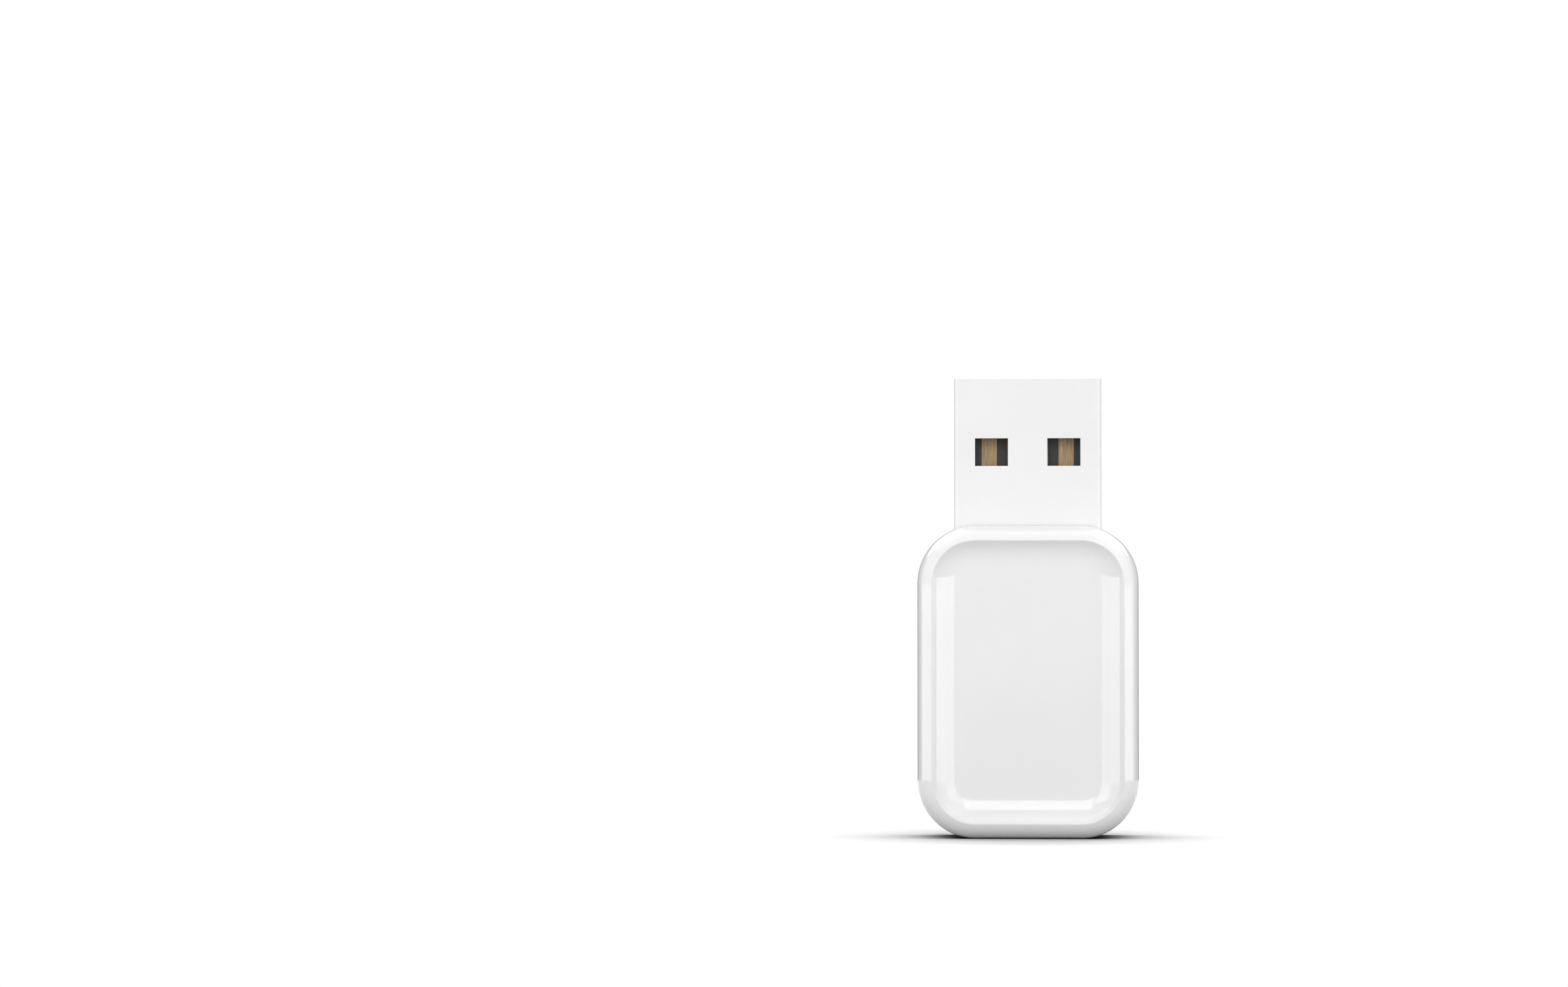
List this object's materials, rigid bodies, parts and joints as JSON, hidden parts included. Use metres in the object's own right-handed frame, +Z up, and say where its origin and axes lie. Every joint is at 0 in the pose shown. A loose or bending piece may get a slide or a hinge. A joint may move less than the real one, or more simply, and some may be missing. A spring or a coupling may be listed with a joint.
{
  "type": "smart home usb radio stick",
  "caption": "Small white radio stick: a rounded moulded housing with a shallow dish in its front, and a coated plug with two contact windows on its short end.",
  "frame": {"origin": "middle of the flat foot, the short rounded end that the stick stands on", "axes": "+Z up along the stick towards the plug's mouth, +X across the width, -Y the front with the dish"},
  "size_m": [0.018, 0.009, 0.0376],
  "materials": {
    "housing": "glossy white moulded plastic",
    "plug_coating": "smooth white coating on sheet steel",
    "carrier_plastic": "black moulded insulator, satin",
    "contact_metal": "plated brass with a fine lengthwise grain",
    "board_laminate": "green solder mask on laminate",
    "chip_plastic": "black moulding compound",
    "can_metal": "plated lid",
    "antenna_wire": "copper coloured drawn wire",
    "fuse_body": "green polymer body",
    "ferrite": "dark grey ferrite",
    "capacitor_ceramic": "tan ceramic",
    "resistor_black": "black glaze",
    "inductor_body": "grey blue ceramic"
  },
  "bodies": {
    "root": {"front_cover": "housing", "rear_cover": "housing", "plug_shell": "plug_coating", "contact_carrier": "carrier_plastic", "contact_vbus": "contact_metal", "contact_data_minus": "contact_metal", "contact_data_plus": "contact_metal", "contact_ground": "contact_metal", "circuit_board": "board_laminate", "radio_chip": "chip_plastic", "usb_bridge_chip": "chip_plastic", "voltage_regulator": "chip_plastic", "surge_protector": "chip_plastic", "radio_crystal": "can_metal", "saw_filter": "can_metal", "helical_antenna": "antenna_wire", "resettable_fuse": "fuse_body", "ferrite_bead": "ferrite", "capacitor_group": "capacitor_ceramic", "resistor_group": "resistor_black", "inductor_group": "inductor_body"}
  },
  "joints": []
}
